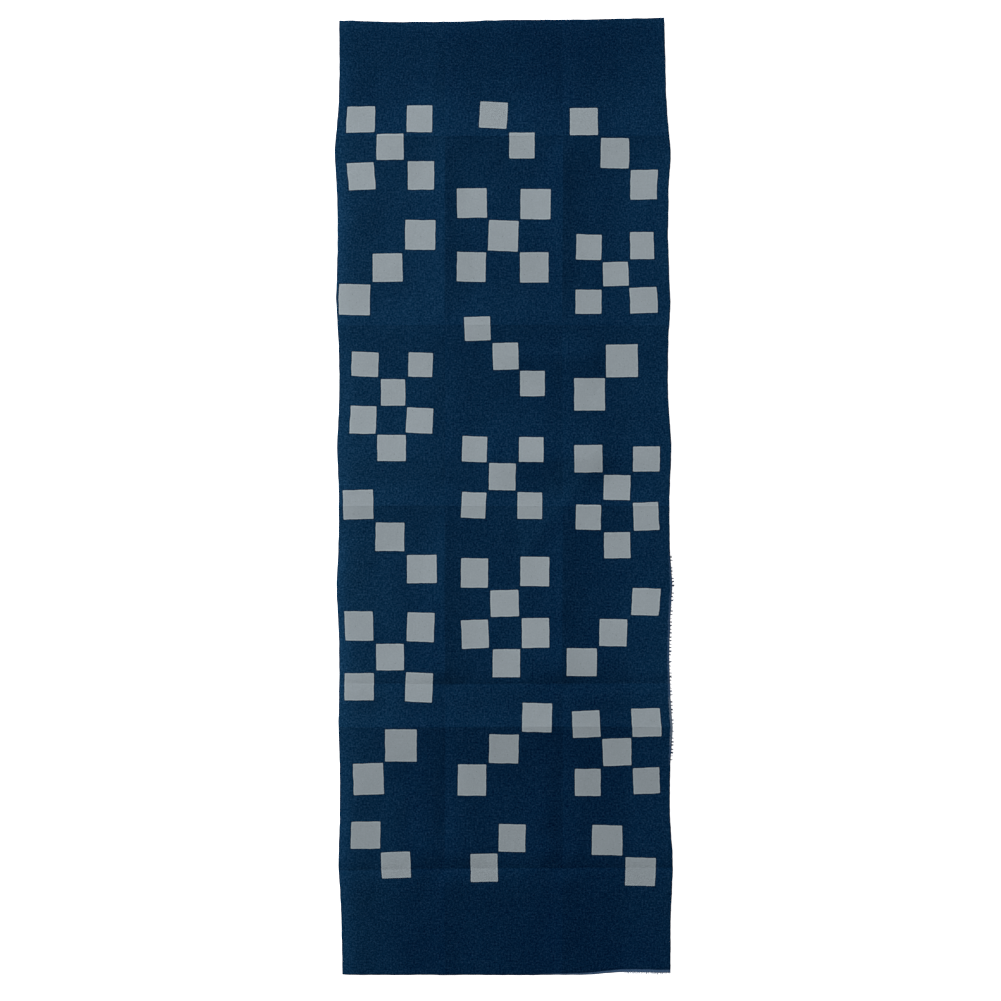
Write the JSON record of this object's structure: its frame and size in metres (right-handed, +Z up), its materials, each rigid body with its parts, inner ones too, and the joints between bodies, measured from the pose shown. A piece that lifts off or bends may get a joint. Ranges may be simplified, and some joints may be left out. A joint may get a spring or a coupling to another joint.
{
  "type": "tenugui towel",
  "caption": "Long thin plain-weave cotton hand towel lying flat, indigo dyed with pale grey resist squares, unhemmed cut ends.",
  "frame": {"origin": "middle of the cloth's footprint, on the surface that it lies on", "axes": "+Y along the length towards the head end, +Z up from the surface, +X towards the right woven edge"},
  "size_m": [0.353, 1.0016, 0.0063],
  "materials": {
    "cotton": "matte indigo-dyed plain-weave cotton with pale grey squares left by the resist"
  },
  "bodies": {
    "root": {"towel": "cotton"}
  },
  "joints": []
}
